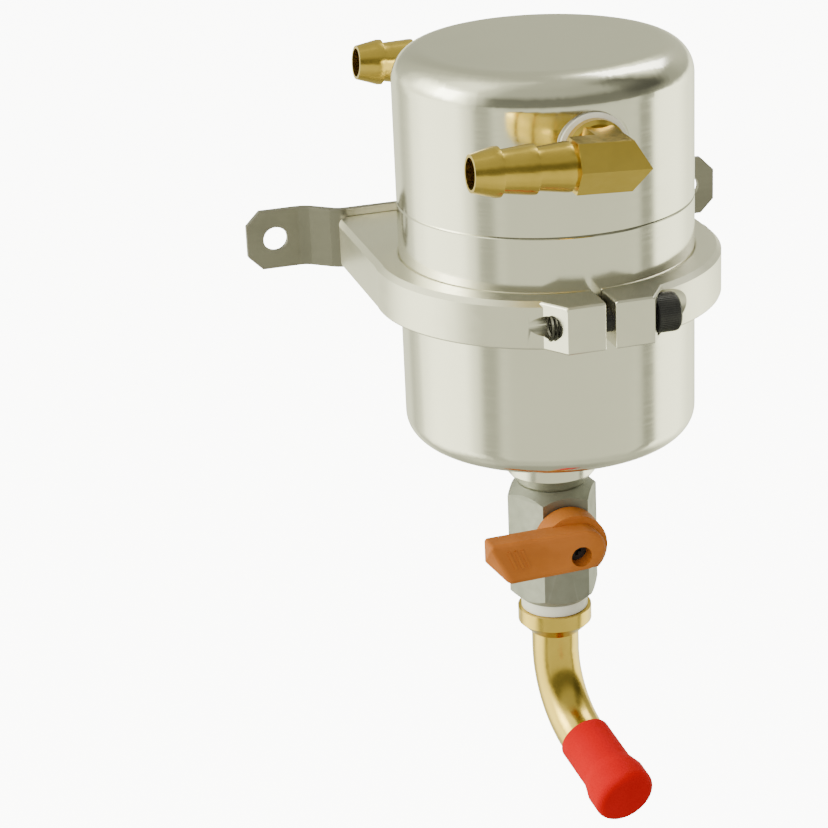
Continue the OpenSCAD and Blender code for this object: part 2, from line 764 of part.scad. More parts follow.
module stem_o_ring() {
    groove_y = boss_y - 2.2;
    color([0.12, 0.12, 0.12]) on_can()
        translate([0, -groove_y - (stem_seal_d + loose_gap) / 2, stem_z]) rotate([90, 0, 0])
            rotate_extrude() translate([stem_d / 2 - stem_seal_d / 2 - loose_gap / 2, 0])
                circle(stem_seal_d / 2, $fn = 24);
}

// The lever's blank: four round corners at its end and a round nose, in the valve's frame.
module lever_blank() {
    e = lever_round;
    low = lever_rise - lever_h / 2 + e;
    high = lever_rise + lever_h / 2 - e;
    nose_r = lever_h / 2;
    hull($fn = 32) {
        for (p = [[-lever_l + e, -lever_front + e, high], [-lever_l + e, -lever_back - e, high],
                  [-lever_l + e, -lever_back - e, low + lever_undercut]])
            translate(p) sphere(r = e, $fn = 24);
        translate([-lever_l + lever_slant + 2 * e, -lever_front + 2 * e, low + e - lever_drop])
            sphere(r = 2 * e, $fn = 32);
        translate([lever_nose - nose_r, -lever_back, lever_rise]) rotate([90, 0, 0])
            rotate_extrude($fn = 48) {
                translate([nose_r - e, lever_t - e]) circle(e, $fn = 24);
                square([nose_r - e, lever_t]);
                square([nose_r, lever_t - e]);
            }
    }
}

module valve_handle() {
    color([0.85, 0.42, 0.12]) on_can() translate([0, 0, stem_z]) difference() {
        union() {
            lever_blank();
            difference() {
                along_y(hub_d / 2, -lever_back - 1, -hub_y);
                translate([-hub_d, -lever_back - 2, -hub_d - hub_drop]) cube([2 * hub_d, hub_d, hub_d]);
            }
            for (i = [0 : 2])
                translate([-lever_l + 6 + 1.9 * i, -lever_front, lever_rise + 0.8])
                    rotate([0, -22, 0]) cube([0.6, 0.6, lever_h / 2], center = true);
        }
        along_y(recess_d / 2, -lever_front - 1, -recess_y);
        along_y(stem_boss_d / 2 + face_gap, -boss_y - face_gap, 0);
        intersection() {
            along_y(stem_d / 2 + loose_gap, -recess_y - 1, 0);
            translate([-stem_d, -recess_y - 1, -stem_af / 2 - loose_gap])
                cube([2 * stem_d, recess_y, stem_af + 2 * loose_gap]);
        }
        along_y(stem_d / 2 + loose_gap, -boss_y - 1, 0);
    }
}

module handle_screw() {
    slot = 0.8;
    color([0.3, 0.3, 0.3]) on_can() translate([0, -recess_y, stem_z]) rotate([90, 0, 0])
        difference() {
            union() {
                cylinder(r = pan_d / 2, h = pan_h);
                translate([0, 0, -pan_screw_l]) cylinder(r = pan_screw_d / 2, h = pan_screw_l);
            }
            for (a = [0, 90]) rotate(a)
                translate([-pan_d / 4, -slot / 2, pan_h / 2]) cube([pan_d / 2, slot, pan_h]);
        }
}

module drain_washer() {
    color([0.93, 0.92, 0.88]) on_can() translate([0, 0, drain_z])
        ring(drain_washer_d / 2, thread_r, drain_washer_t);
}

// Moves its children to the end of the drain tube's bend, with +Z along the tube.
module at_tube_end() {
    rotate([0, 0, drain_turn])
        translate([0, -bend_r * (1 - cos(bend_angle)), bend_z - bend_r * sin(bend_angle)])
            rotate([180 - bend_angle, 0, 0]) children();
}

// The half section of the drain elbow above its bend, with its bore left open.
module drain_stem_profile() {
    top = retainer_top - retainer_wall - 0.5;
    in_r = tube_r - tube_wall;
    polygon([[in_r, bend_z], [tube_r, bend_z], [tube_r, tube_top], [tube_r + 0.4, tube_top],
             [drain_collar_d / 2, tube_top + drain_cone_h], [drain_collar_d / 2, drain_z],
             [shank_d / 2, drain_z], [shank_d / 2, top], [in_r, top]]);
}

// The straight end of the drain tube.
module ring_tube() {
    rotate_extrude() translate([tube_r - tube_wall, 0]) square([tube_wall, tube_end_l]);
}

module drain_elbow() {
    color([0.77, 0.63, 0.3]) on_can() {
        rotate_extrude() drain_stem_profile();
        rotate([0, 0, drain_turn]) translate([0, -bend_r, bend_z]) rotate([-90, 0, 90])
            rotate_extrude(start = -bend_lap, angle = bend_angle + 2 * bend_lap)
                translate([bend_r, 0]) difference() {
                    circle(tube_r - bend_thin);
                    circle(tube_r - tube_wall + bend_thin);
                }
        at_tube_end() ring_tube();
    }
}

// The cap's half section: a thin sleeve that widens to a thick round end.
module cap_profile() {
    end_r = cap_end_d / 2;
    shoulder = cap_l - cap_end_l;
    square([cap_r, shoulder]);
    translate([0, shoulder]) dome_profile(end_r, cap_end_l, cap_end_round);
    polygon([[0, shoulder - cap_taper_l], [cap_r, shoulder - cap_taper_l],
             [end_r, shoulder], [0, shoulder]]);
}

module drain_cap() {
    depth = tube_end_l - cap_start + face_gap;
    color([0.86, 0.15, 0.12]) on_can() at_tube_end() translate([0, 0, cap_start])
        difference() {
            rotate_extrude() cap_profile();
            translate([0, 0, -1]) cylinder(r = cap_bore_r, h = depth + 1);
        }
}

bracket_strap();
strap_screws();
clamp_ring();
clamp_screw();
can_body();
baffle_plate();
mesh_pad();
can_lid();
lid_o_ring();
inlet_elbow();
inlet_washer();
outlet_elbow();
outlet_washer();
valve_body();
upper_seat();
valve_ball();
lower_seat();
valve_retainer();
valve_stem();
stem_o_ring();
valve_handle();
handle_screw();
drain_washer();
drain_elbow();
drain_cap();
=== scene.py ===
"""The dressed oil catch can: smooth skins, screw threads, finishes, a studio and a camera.

Everything is in metres in the frame's own axes: X runs along the strap, Y goes into the
panel behind it and Z points up along the can. The can's axis stands in front of the strap.
"""
import json
import logging
import math
from collections.abc import Callable
from dataclasses import dataclass, field
from enum import Enum

import bmesh
import bpy
from mathutils import Matrix, Vector


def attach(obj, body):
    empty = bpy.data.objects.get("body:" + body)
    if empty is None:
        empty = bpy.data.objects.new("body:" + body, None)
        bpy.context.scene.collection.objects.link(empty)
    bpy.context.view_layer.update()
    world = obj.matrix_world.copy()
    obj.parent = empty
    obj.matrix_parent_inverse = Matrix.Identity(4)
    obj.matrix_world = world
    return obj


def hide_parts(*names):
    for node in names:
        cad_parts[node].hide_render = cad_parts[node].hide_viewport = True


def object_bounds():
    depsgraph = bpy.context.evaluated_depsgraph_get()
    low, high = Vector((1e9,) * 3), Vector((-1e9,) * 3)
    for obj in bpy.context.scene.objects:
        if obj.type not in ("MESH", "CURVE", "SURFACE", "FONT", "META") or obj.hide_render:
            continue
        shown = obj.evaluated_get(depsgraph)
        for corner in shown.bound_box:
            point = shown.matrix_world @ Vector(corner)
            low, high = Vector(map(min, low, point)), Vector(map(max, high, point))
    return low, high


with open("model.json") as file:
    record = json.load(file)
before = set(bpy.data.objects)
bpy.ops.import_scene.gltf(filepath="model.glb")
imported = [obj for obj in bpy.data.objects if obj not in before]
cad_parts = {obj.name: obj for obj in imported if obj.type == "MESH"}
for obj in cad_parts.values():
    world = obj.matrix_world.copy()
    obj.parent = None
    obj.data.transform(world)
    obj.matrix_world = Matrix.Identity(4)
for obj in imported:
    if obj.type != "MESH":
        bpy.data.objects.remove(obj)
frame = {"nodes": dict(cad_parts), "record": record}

LOG = logging.getLogger("catch_can")
MM = 0.001
CAD_BOX = [list(corner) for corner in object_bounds()]

WELD = 0.002 * MM
SLIVER = 0.001 * MM
FLAT = math.radians(0.05)
BEVEL_SEGMENTS = 2
EVEN_STRETCH = (1.0, 1.0, 1.0)
BRUSHED_STRETCH = (0.03, 0.03, 1.0)
NOISE_LOW, NOISE_HIGH = 0.3, 0.7
RELIEF = 0.1 * MM

CAN_AXIS = Vector((0.0, -56.0 * MM, 0.0))
SEAM_Z = 20.8 * MM


class Lay(Enum):
    """The way a surface's fine lines run."""

    TURNED = "rings round the can's axis"
    BRUSHED = "straight lines along X"
    EVEN = "no direction"


@dataclass(frozen=True)
class Finish:
    """One finish of the can's own materials, with the numbers that its shader needs."""

    name: str
    slot: str
    color: tuple[float, float, float]
    shade: tuple[float, float, float]
    metallic: float
    rough: tuple[float, float]
    lay: Lay = Lay.EVEN
    grain: float = 900.0
    bump: float = 0.05
    marks: float = 60.0
    wear: float = 0.0
    bright: tuple[float, float, float] = (0.9, 0.9, 0.9)
    specular: float = 0.5


POLISHED = Finish("polished_aluminium", "polished_aluminium", (0.80, 0.785, 0.71), (0.77, 0.755, 0.68),
                  1.0, (0.12, 0.19), Lay.TURNED, 1500.0, 0.010, 25.0)
CLAMP_METAL = Finish("milled_aluminium", "clamp_aluminium", (0.84, 0.82, 0.74), (0.81, 0.79, 0.71),
                     1.0, (0.30, 0.35), Lay.EVEN, 350.0, 0.003, 40.0)
# Painted shade: the tapped thread's aluminium is coloured near-black so the inside of the clamp's screw hole
# reads as shaded.
SHADED_THREAD_METAL = Finish("thread_aluminium_painted_shade", "clamp_aluminium", (0.085, 0.083, 0.075), (0.035, 0.034, 0.03),
                      1.0, (0.25, 0.40), Lay.EVEN, 900.0, 0.02, 200.0)
STRAP_STEEL = Finish("stainless_strap", "stainless_strap", (0.27, 0.26, 0.225), (0.23, 0.22, 0.19),
                     1.0, (0.32, 0.38), Lay.BRUSHED, 1000.0, 0.0015, 45.0)
BRIGHT_STEEL = Finish("bright_steel", "bright_steel", (0.66, 0.66, 0.64), (0.55, 0.55, 0.53),
                      1.0, (0.14, 0.24), Lay.EVEN, 1500.0, 0.01, 80.0)
BLACK_STEEL = Finish("black_steel", "black_steel", (0.020, 0.020, 0.022), (0.035, 0.035, 0.036),
                     0.4, (0.34, 0.46), Lay.EVEN, 1500.0, 0.02, 90.0, wear=0.2,
                     bright=(0.2, 0.2, 0.2), specular=0.35)
BRASS = Finish("yellow_brass", "yellow_brass", (0.70, 0.50, 0.105), (0.63, 0.445, 0.088),
               1.0, (0.18, 0.26), Lay.EVEN, 500.0, 0.008, 70.0, wear=0.3, bright=(0.78, 0.60, 0.20))
NICKEL = Finish("nickel_plate", "nickel_plate", (0.36, 0.37, 0.345), (0.31, 0.32, 0.30),
                1.0, (0.56, 0.66), Lay.EVEN, 350.0, 0.012, 60.0, wear=0.2)
WASHER = Finish("white_washer", "white_washer", (0.80, 0.79, 0.74), (0.72, 0.70, 0.63),
                0.0, (0.45, 0.6), Lay.EVEN, 900.0, 0.02, 120.0)
SEAT = Finish("white_seat", "white_seat", (0.86, 0.86, 0.82), (0.80, 0.80, 0.76),
              0.0, (0.35, 0.5), Lay.EVEN, 900.0, 0.02, 120.0)
RUBBER = Finish("black_rubber", "black_rubber", (0.018, 0.018, 0.018), (0.03, 0.03, 0.03),
                0.0, (0.5, 0.65), Lay.EVEN, 1500.0, 0.04, 120.0)
ORANGE = Finish("orange_plastic", "orange_plastic", (0.425, 0.132, 0.026), (0.365, 0.110, 0.020),
                0.0, (0.48, 0.62), Lay.EVEN, 700.0, 0.03, 90.0, wear=0.15, bright=(0.70, 0.25, 0.02),
                specular=0.14)
VINYL = Finish("red_vinyl", "red_vinyl", (0.53, 0.003, 0.006), (0.47, 0.002, 0.004),
               0.0, (0.50, 0.60), Lay.EVEN, 400.0, 0.015, 50.0, specular=0.03)
MESH = Finish("steel_mesh", "steel_mesh", (0.52, 0.52, 0.50), (0.30, 0.30, 0.29),
              1.0, (0.3, 0.5), Lay.EVEN, 900.0, 0.6, 300.0)


class ShaderGroups:
    """The shader effects that more than one finish uses, each built once."""

    def __init__(self) -> None:
        """Builds the groups."""
        self.turned = self._turned_lines()
        self.stretched = self._stretched_grain()
        self.marks = self._soft_marks()
        self.thread = self._thread_lines()
        self.edges = self._edge_wear()

    @staticmethod
    def _new(name: str, inputs: list[tuple[str, str, object]], outputs: list[tuple[str, str]]
             ) -> tuple[bpy.types.NodeTree, bpy.types.Node, bpy.types.Node]:
        """Makes an empty shader group.

        Args:
            name: The group's name.
            inputs: Label, socket type and default of each input.
            outputs: Label and socket type of each output.

        Returns:
            The group, its input node and its output node.
        """
        group = bpy.data.node_groups.new(name, "ShaderNodeTree")
        for label, kind, default in inputs:
            socket = group.interface.new_socket(label, in_out="INPUT", socket_type=kind)
            if default is not None:
                socket.default_value = default
        for label, kind in outputs:
            group.interface.new_socket(label, in_out="OUTPUT", socket_type=kind)
        return group, group.nodes.new("NodeGroupInput"), group.nodes.new("NodeGroupOutput")

    @staticmethod
    def _math(group: bpy.types.NodeTree, operation: str, first: bpy.types.NodeSocket | float,
              second: bpy.types.NodeSocket | float | None = None) -> bpy.types.NodeSocket:
        """Adds a Math node and returns its output.

        Args:
            group: The tree that gets the node.
            operation: The node's operation.
            first: A socket or a number.
            second: A socket, a number or nothing.

        Returns:
            The node's output socket.
        """
        node = group.nodes.new("ShaderNodeMath")
        node.operation = operation
        for index, value in enumerate((first, second)):
            if isinstance(value, bpy.types.NodeSocket):
                group.links.new(value, node.inputs[index])
            elif value is not None:
                node.inputs[index].default_value = value
        return node.outputs[0]

    def _turned_lines(self) -> bpy.types.NodeTree:
        """Fine rings round the Z axis, as a lathe leaves them.

        Returns:
            The group.
        """
        group, source, sink = self._new(
            "turned_lines", [("Vector", "NodeSocketVector", None), ("Scale", "NodeSocketFloat", 1500.0)],
            [("Value", "NodeSocketFloat")])
        split = group.nodes.new("ShaderNodeSeparateXYZ")
        group.links.new(source.outputs["Vector"], split.inputs[0])
        x, y, z = split.outputs
        square = self._math(group, "ADD", self._math(group, "MULTIPLY", x, x),
                            self._math(group, "MULTIPLY", y, y))
        radius = self._math(group, "SQRT", square)
        safe = self._math(group, "MAXIMUM", radius, 1e-5)
        cosine = self._math(group, "DIVIDE", x, safe)
        sine = self._math(group, "DIVIDE", y, safe)
        join = group.nodes.new("ShaderNodeCombineXYZ")
        scale = source.outputs["Scale"]
        turns = 1.4
        group.links.new(self._math(group, "ADD", self._math(group, "MULTIPLY", radius, scale),
                                   self._math(group, "MULTIPLY", cosine, turns)), join.inputs[0])
        group.links.new(self._math(group, "MULTIPLY", sine, turns), join.inputs[1])
        group.links.new(self._math(group, "MULTIPLY", z, scale), join.inputs[2])
        noise = group.nodes.new("ShaderNodeTexNoise")
        noise.inputs["Scale"].default_value = 1.0
        noise.inputs["Detail"].default_value = 3.0
        group.links.new(join.outputs[0], noise.inputs["Vector"])
        group.links.new(noise.outputs[0], sink.inputs["Value"])
        return group

    def _stretched_grain(self) -> bpy.types.NodeTree:
        """Noise that may be drawn out along one axis.

        Returns:
            The group.
        """
        group, source, sink = self._new(
            "stretched_grain",
            [("Vector", "NodeSocketVector", None), ("Stretch", "NodeSocketVector", EVEN_STRETCH),
             ("Scale", "NodeSocketFloat", 900.0)],
            [("Value", "NodeSocketFloat")])
        shape = group.nodes.new("ShaderNodeVectorMath")
        shape.operation = "MULTIPLY"
        group.links.new(source.outputs["Vector"], shape.inputs[0])
        group.links.new(source.outputs["Stretch"], shape.inputs[1])
        noise = group.nodes.new("ShaderNodeTexNoise")
        noise.inputs["Detail"].default_value = 3.0
        group.links.new(shape.outputs[0], noise.inputs["Vector"])
        group.links.new(source.outputs["Scale"], noise.inputs["Scale"])
        group.links.new(noise.outputs[0], sink.inputs["Value"])
        return group

    def _soft_marks(self) -> bpy.types.NodeTree:
        """Soft cloudy patches, for colour and gloss that vary a little.

        Returns:
            The group.
        """
        group, source, sink = self._new(
            "soft_marks", [("Vector", "NodeSocketVector", None), ("Scale", "NodeSocketFloat", 60.0)],
            [("Mask", "NodeSocketFloat")])
        noise = group.nodes.new("ShaderNodeTexNoise")
        noise.inputs["Detail"].default_value = 5.0
        noise.inputs["Roughness"].default_value = 0.55
        group.links.new(source.outputs["Vector"], noise.inputs["Vector"])
        group.links.new(source.outputs["Scale"], noise.inputs["Scale"])
        spread = group.nodes.new("ShaderNodeMapRange")
        spread.interpolation_type = "SMOOTHSTEP"
        spread.inputs["From Min"].default_value = 0.35
        spread.inputs["From Max"].default_value = 0.70
        group.links.new(noise.outputs[0], spread.inputs["Value"])
        group.links.new(spread.outputs["Result"], sink.inputs["Mask"])
        return group

    def _thread_lines(self) -> bpy.types.NodeTree:
        """The height of a screw thread round the Z axis, between two levels.

        Returns:
            The group.
        """
        group, source, sink = self._new(
            "thread_lines", [("Vector", "NodeSocketVector", None), ("Pitch", "NodeSocketFloat", 0.002),
                             ("Low", "NodeSocketFloat", 0.0), ("High", "NodeSocketFloat", 1.0)],
            [("Height", "NodeSocketFloat")])
        split = group.nodes.new("ShaderNodeSeparateXYZ")
        group.links.new(source.outputs["Vector"], split.inputs[0])
        x, y, z = split.outputs
        turn = self._math(group, "DIVIDE", self._math(group, "ARCTAN2", y, x), 2 * math.pi)
        rise = self._math(group, "DIVIDE", z, source.outputs["Pitch"])
        wave = self._math(group, "PINGPONG", self._math(group, "SUBTRACT", rise, turn), 0.5)
        inside = self._math(group, "MULTIPLY", self._math(group, "GREATER_THAN", z, source.outputs["Low"]),
                            self._math(group, "LESS_THAN", z, source.outputs["High"]))
        group.links.new(self._math(group, "MULTIPLY", wave, inside), sink.inputs["Height"])
        return group

    def _edge_wear(self) -> bpy.types.NodeTree:
        """A mask that is high on worn outer edges, broken up by noise.

        Returns:
            The group.
        """
        group, source, sink = self._new(
            "edge_wear", [("Vector", "NodeSocketVector", None), ("Amount", "NodeSocketFloat", 0.5)],
            [("Mask", "NodeSocketFloat")])
        shape = group.nodes.new("ShaderNodeNewGeometry")
        spread = group.nodes.new("ShaderNodeMapRange")
        spread.inputs["From Min"].default_value = 0.515
        spread.inputs["From Max"].default_value = 0.60
        group.links.new(shape.outputs["Pointiness"], spread.inputs["Value"])
        noise = group.nodes.new("ShaderNodeTexNoise")
        noise.inputs["Scale"].default_value = 500.0
        group.links.new(source.outputs["Vector"], noise.inputs["Vector"])
        worn = self._math(group, "MULTIPLY", spread.outputs["Result"],
                          self._math(group, "MULTIPLY", noise.outputs[0], source.outputs["Amount"]))
        group.links.new(worn, sink.inputs["Mask"])
        return group


@dataclass
class ThreadPatch:
    """A stretch of screw thread that a finish shows as fine relief."""

    pitch: float
    low: float
    high: float
    depth: float = 0.5 * MM


class Paintbox:
    """Makes the node materials from the finishes and keeps one of each."""

    def __init__(self) -> None:
        """Builds the shared groups."""
        self.groups = ShaderGroups()
        self._made: dict[str, bpy.types.Material] = {}

    def material(self, finish: Finish, label: str = "",
                 patch: ThreadPatch | None = None) -> bpy.types.Material:
        """Gives the material of a finish, and builds it on first use.

        Args:
            finish: The finish to build.
            label: Extra name of a variant that has its own patch.
            patch: A stretch of thread, or nothing.

        Returns:
            The material.
        """
        name = finish.name + label
        if name not in self._made:
            self._made[name] = self._build(finish, name, patch)
        return self._made[name]

    def _build(self, finish: Finish, name: str, patch: ThreadPatch | None) -> bpy.types.Material:
        """Builds one material.

        Args:
            finish: The finish to build.
            name: The material's name.
            patch: A stretch of thread, or nothing.

        Returns:
            The new material.
        """
        material = bpy.data.materials.new(name)
        material.use_nodes = True
        nodes, links = material.node_tree.nodes, material.node_tree.links
        shader = nodes["Principled BSDF"]
        shader.inputs["Metallic"].default_value = finish.metallic
        shader.inputs["Specular IOR Level"].default_value = finish.specular

        place = nodes.new("ShaderNodeMapping")
        place.inputs["Location"].default_value = -CAN_AXIS
        links.new(nodes.new("ShaderNodeTexCoord").outputs["Object"], place.inputs["Vector"])
        vector = place.outputs["Vector"]

        grain = nodes.new("ShaderNodeGroup")
        if finish.lay is Lay.TURNED:
            grain.node_tree = self.groups.turned
        else:
            grain.node_tree = self.groups.stretched
            stretch = BRUSHED_STRETCH if finish.lay is Lay.BRUSHED else EVEN_STRETCH
            grain.inputs["Stretch"].default_value = stretch
        grain.inputs["Scale"].default_value = finish.grain
        links.new(vector, grain.inputs["Vector"])

        marks = nodes.new("ShaderNodeGroup")
        marks.node_tree = self.groups.marks
        marks.inputs["Scale"].default_value = finish.marks
        links.new(vector, marks.inputs["Vector"])

        tint = nodes.new("ShaderNodeMix")
        tint.data_type = "RGBA"
        tint.inputs["A"].default_value = (*finish.color, 1.0)
        tint.inputs["B"].default_value = (*finish.shade, 1.0)
        links.new(marks.outputs["Mask"], tint.inputs["Factor"])
        color = tint.outputs["Result"]
        if finish.wear > 0:
            worn = nodes.new("ShaderNodeGroup")
            worn.node_tree = self.groups.edges
            worn.inputs["Amount"].default_value = finish.wear
            links.new(vector, worn.inputs["Vector"])
            rub = nodes.new("ShaderNodeMix")
            rub.data_type = "RGBA"
            rub.inputs["B"].default_value = (*finish.bright, 1.0)
            links.new(worn.outputs["Mask"], rub.inputs["Factor"])
            links.new(color, rub.inputs["A"])
            color = rub.outputs["Result"]
        links.new(color, shader.inputs["Base Color"])

        gloss = nodes.new("ShaderNodeMapRange")
        gloss.inputs["From Min"].default_value = NOISE_LOW
        gloss.inputs["From Max"].default_value = NOISE_HIGH
        gloss.inputs["To Min"].default_value = finish.rough[0]
        gloss.inputs["To Max"].default_value = finish.rough[1]
        links.new(grain.outputs["Value"], gloss.inputs["Value"])
        links.new(gloss.outputs["Result"], shader.inputs["Roughness"])

        relief = nodes.new("ShaderNodeBump")
        relief.inputs["Strength"].default_value = finish.bump
        relief.inputs["Distance"].default_value = RELIEF
        links.new(grain.outputs["Value"], relief.inputs["Height"])
        normal = relief.outputs["Normal"]
        if patch is not None:
            thread = nodes.new("ShaderNodeGroup")
            thread.node_tree = self.groups.thread
            thread.inputs["Pitch"].default_value = patch.pitch
            thread.inputs["Low"].default_value = patch.low
            thread.inputs["High"].default_value = patch.high
            links.new(vector, thread.inputs["Vector"])
            ridges = nodes.new("ShaderNodeBump")
            ridges.inputs["Strength"].default_value = 1.0
            ridges.inputs["Distance"].default_value = patch.depth
            links.new(thread.outputs["Height"], ridges.inputs["Height"])
            links.new(normal, ridges.inputs["Normal"])
            normal = ridges.outputs["Normal"]
        links.new(normal, shader.inputs["Normal"])
        return material


class Workshop:
    """Makes finished pieces from CAD nodes and from grown shapes, and sets each on its body."""

    def __init__(self, paint: Paintbox) -> None:
        """Keeps the paintbox and learns which body holds each node.

        Args:
            paint: Makes the materials.
        """
        self.paint = paint
        groups = frame["record"]["behaviour"]["bodies"]
        self.body_of = {node: body for body, nodes in groups.items() for node in nodes}

    def skin(self, node: str, finish: Finish, crease: float = 30.0, bevel: float = 0.0,
             material: bpy.types.Material | None = None,
             spared: Callable[[bmesh.types.BMEdge], bool] | None = None) -> bpy.types.Object:
        """Makes a smooth-shaded skin over a CAD node and lets it stand for the node.

        Args:
            node: The CAD node's name.
            finish: The skin's finish.
            crease: Edges sharper than this many degrees stay crisp.
            bevel: Width of the rounding on crisp edges, in metres.
            material: A variant of the finish's material, or nothing for the plain one.
            spared: Tells whether the bevel leaves an edge out. With it, flat triangles are joined first,
                so that a wide bevel finds room.

        Returns:
            The skin's object.
        """
        mesh = bpy.data.meshes.new(node + "_skin")
        shape = bmesh.new()
        shape.from_mesh(frame["nodes"][node].data)
        bmesh.ops.remove_doubles(shape, verts=shape.verts, dist=WELD)
        bmesh.ops.dissolve_degenerate(shape, dist=SLIVER, edges=shape.edges)
        if spared:
            bmesh.ops.dissolve_limit(shape, angle_limit=FLAT, verts=shape.verts, edges=shape.edges,
                                     delimit={"NORMAL"})
        limit = math.radians(crease)
        share = shape.edges.layers.float.new("bevel_weight_edge")
        for edge in shape.edges:
            edge.smooth = len(edge.link_faces) == 2 and edge.calc_face_angle(0.0) < limit
            edge[share] = 0.0 if edge.smooth or (spared and spared(edge)) else 1.0
        for face in shape.faces:
            face.smooth = True
            face.material_index = 0
        shape.to_mesh(mesh)
        shape.free()
        piece = bpy.data.objects.new(node + "_skin", mesh)
        bpy.context.scene.collection.objects.link(piece)
        if bevel > 0:
            rounding = piece.modifiers.new("rounding", "BEVEL")
            rounding.width = bevel
            rounding.segments = BEVEL_SEGMENTS
            rounding.limit_method = "WEIGHT"
            rounding.harden_normals = False
            rounding.use_clamp_overlap = spared is None
        weights = piece.modifiers.new("normals", "WEIGHTED_NORMAL")
        weights.keep_sharp = True
        self._settle(piece)
        mesh = piece.data
        mesh.materials.clear()
        mesh.materials.append(material or self.paint.material(finish))
        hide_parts(node)
        return self.fit(piece, self.body_of[node])

    def fit(self, piece: bpy.types.Object, body: str) -> bpy.types.Object:
        """Lets a finished piece ride on a body.

        Args:
            piece: The finished piece.
            body: The body that carries it.

        Returns:
            The same piece.
        """
        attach(piece, body)
        LOG.info("%s rides on %s, %d faces", piece.name, body, len(piece.data.polygons))
        return piece

    @staticmethod
    def _settle(piece: bpy.types.Object) -> None:
        """Turns a piece's modifiers into plain mesh.

        Args:
            piece: The piece whose modifiers are used up.
        """
        graph = bpy.context.evaluated_depsgraph_get()
        settled = bpy.data.meshes.new_from_object(piece.evaluated_get(graph), depsgraph=graph)
        piece.modifiers.clear()
        piece.data = settled

    def grow(self, name: str, tree: "GrownShape", settings: dict[str, object], place: Matrix,
             body: str, finish: Finish) -> bpy.types.Object:
        """Grows a shape with a Geometry Nodes tree and makes it a plain mesh piece.

        Args:
            name: The piece's name.
            tree: The tree that makes the shape.
            settings: The tree's inputs by label.
            place: Where the shape goes.
            body: The body that carries it.
            finish: Its finish.

        Returns:
            The new piece.
        """
        blank = bpy.data.objects.new(name + "_blank", bpy.data.meshes.new(name + "_blank"))
        bpy.context.scene.collection.objects.link(blank)
        modifier = blank.modifiers.new("grow", "NODES")
        modifier.node_group = tree.tree
        for label, value in settings.items():
            modifier[tree.socket(label)] = value
        modifier[tree.socket("Material")] = self.paint.material(finish)
        graph = bpy.context.evaluated_depsgraph_get()
        mesh = bpy.data.meshes.new_from_object(blank.evaluated_get(graph), depsgraph=graph)
        bpy.data.objects.remove(blank)
        mesh.transform(place)
        shape = bmesh.new()
        shape.from_mesh(mesh)
        bmesh.ops.remove_doubles(shape, verts=shape.verts, dist=SLIVER)
        bmesh.ops.recalc_face_normals(shape, faces=shape.faces)
        shape.to_mesh(mesh)
        shape.free()
        piece = bpy.data.objects.new(name, mesh)
        bpy.context.scene.collection.objects.link(piece)
        return self.fit(piece, body)


class GrownShape:
    """A Geometry Nodes tree with named inputs, built in the script."""

    def __init__(self, name: str, inputs: list[tuple[str, str, object]]) -> None:
        """Makes the empty tree.

        Args:
            name: The tree's name.
            inputs: Label, socket type and default of each input.
        """
        self.tree = bpy.data.node_groups.new(name, "GeometryNodeTree")
        self.tree.interface.new_socket("Geometry", in_out="OUTPUT", socket_type="NodeSocketGeometry")
        for label, kind, default in inputs:
            socket = self.tree.interface.new_socket(label, in_out="INPUT", socket_type=kind)
            if default is not None:
                socket.default_value = default
        self.tree.interface.new_socket("Material", in_out="INPUT", socket_type="NodeSocketMaterial")
        self.source = self.tree.nodes.new("NodeGroupInput")
        self.sink = self.tree.nodes.new("NodeGroupOutput")

    def socket(self, label: str) -> str:
        """Gives the identifier of an input.

        Args:
            label: The input's label.

        Returns:
            The identifier that a modifier knows the input by.
        """
        return next(item.identifier for item in self.tree.interface.items_tree
                    if item.name == label and item.in_out == "INPUT")

    def add(self, kind: str, links: dict[object, object], **settings: object) -> bpy.types.Node:
        """Adds a node and fills its inputs.

        Args:
            kind: The node's type.
            links: Input name or index to a socket, a value, or an input label after "in:".
            settings: The node's own properties.

        Returns:
            The new node.
        """
        node = self.tree.nodes.new(kind)
        for key, value in settings.items():
            setattr(node, key, value)
        for key, value in links.items():
            target = node.inputs[key]
            if isinstance(value, bpy.types.NodeSocket):
                self.tree.links.new(value, target)
            elif isinstance(value, str):
                self.tree.links.new(self.source.outputs[value.removeprefix("in:")], target)
            else:
                target.default_value = value
        return node

    def close(self, shape: bpy.types.NodeSocket, smooth: bool) -> None:
        """Ends the tree in smooth or flat faces, real geometry and its material.

        Args:
            shape: The geometry that the tree has made.
            smooth: True for smooth faces.
        """
        shade = self.add("GeometryNodeSetShadeSmooth", {"Geometry": shape, "Shade Smooth": smooth})
        real = self.add("GeometryNodeRealizeInstances", {"Geometry": shade.outputs[0]})
        paint = self.add("GeometryNodeSetMaterial", {"Geometry": real.outputs[0], "Material": "in:Material"})
        self.tree.links.new(paint.outputs[0], self.sink.inputs[0])


class HelixRidge(GrownShape):
    """The ridge of a screw thread: a small profile swept along a helix that rises along Z."""

    def __init__(self) -> None:
        """Builds the tree."""
        super().__init__("helix_ridge", [
            ("Radius", "NodeSocketFloat", 0.003), ("Turns", "NodeSocketFloat", 8.0),
            ("Height", "NodeSocketFloat", 0.008), ("Ridge", "NodeSocketFloat", 0.0004),
            ("Steps", "NodeSocketInt", 32)])
        path = self.add("GeometryNodeCurveSpiral", {
            "Resolution": "in:Steps", "Rotations": "in:Turns", "Start Radius": "in:Radius",
            "End Radius": "in:Radius", "Height": "in:Height"})
        upright = self.add("GeometryNodeSetCurveNormal", {"Curve": path.outputs[0]})
        upright.mode = "Z_UP"
        section = self.add("GeometryNodeCurvePrimitiveCircle", {"Resolution": 4, "Radius": "in:Ridge"})
        sweep = self.add("GeometryNodeCurveToMesh", {
            "Curve": upright.outputs[0], "Profile Curve": section.outputs[0], "Fill Caps": True})
        self.close(sweep.outputs[0], False)


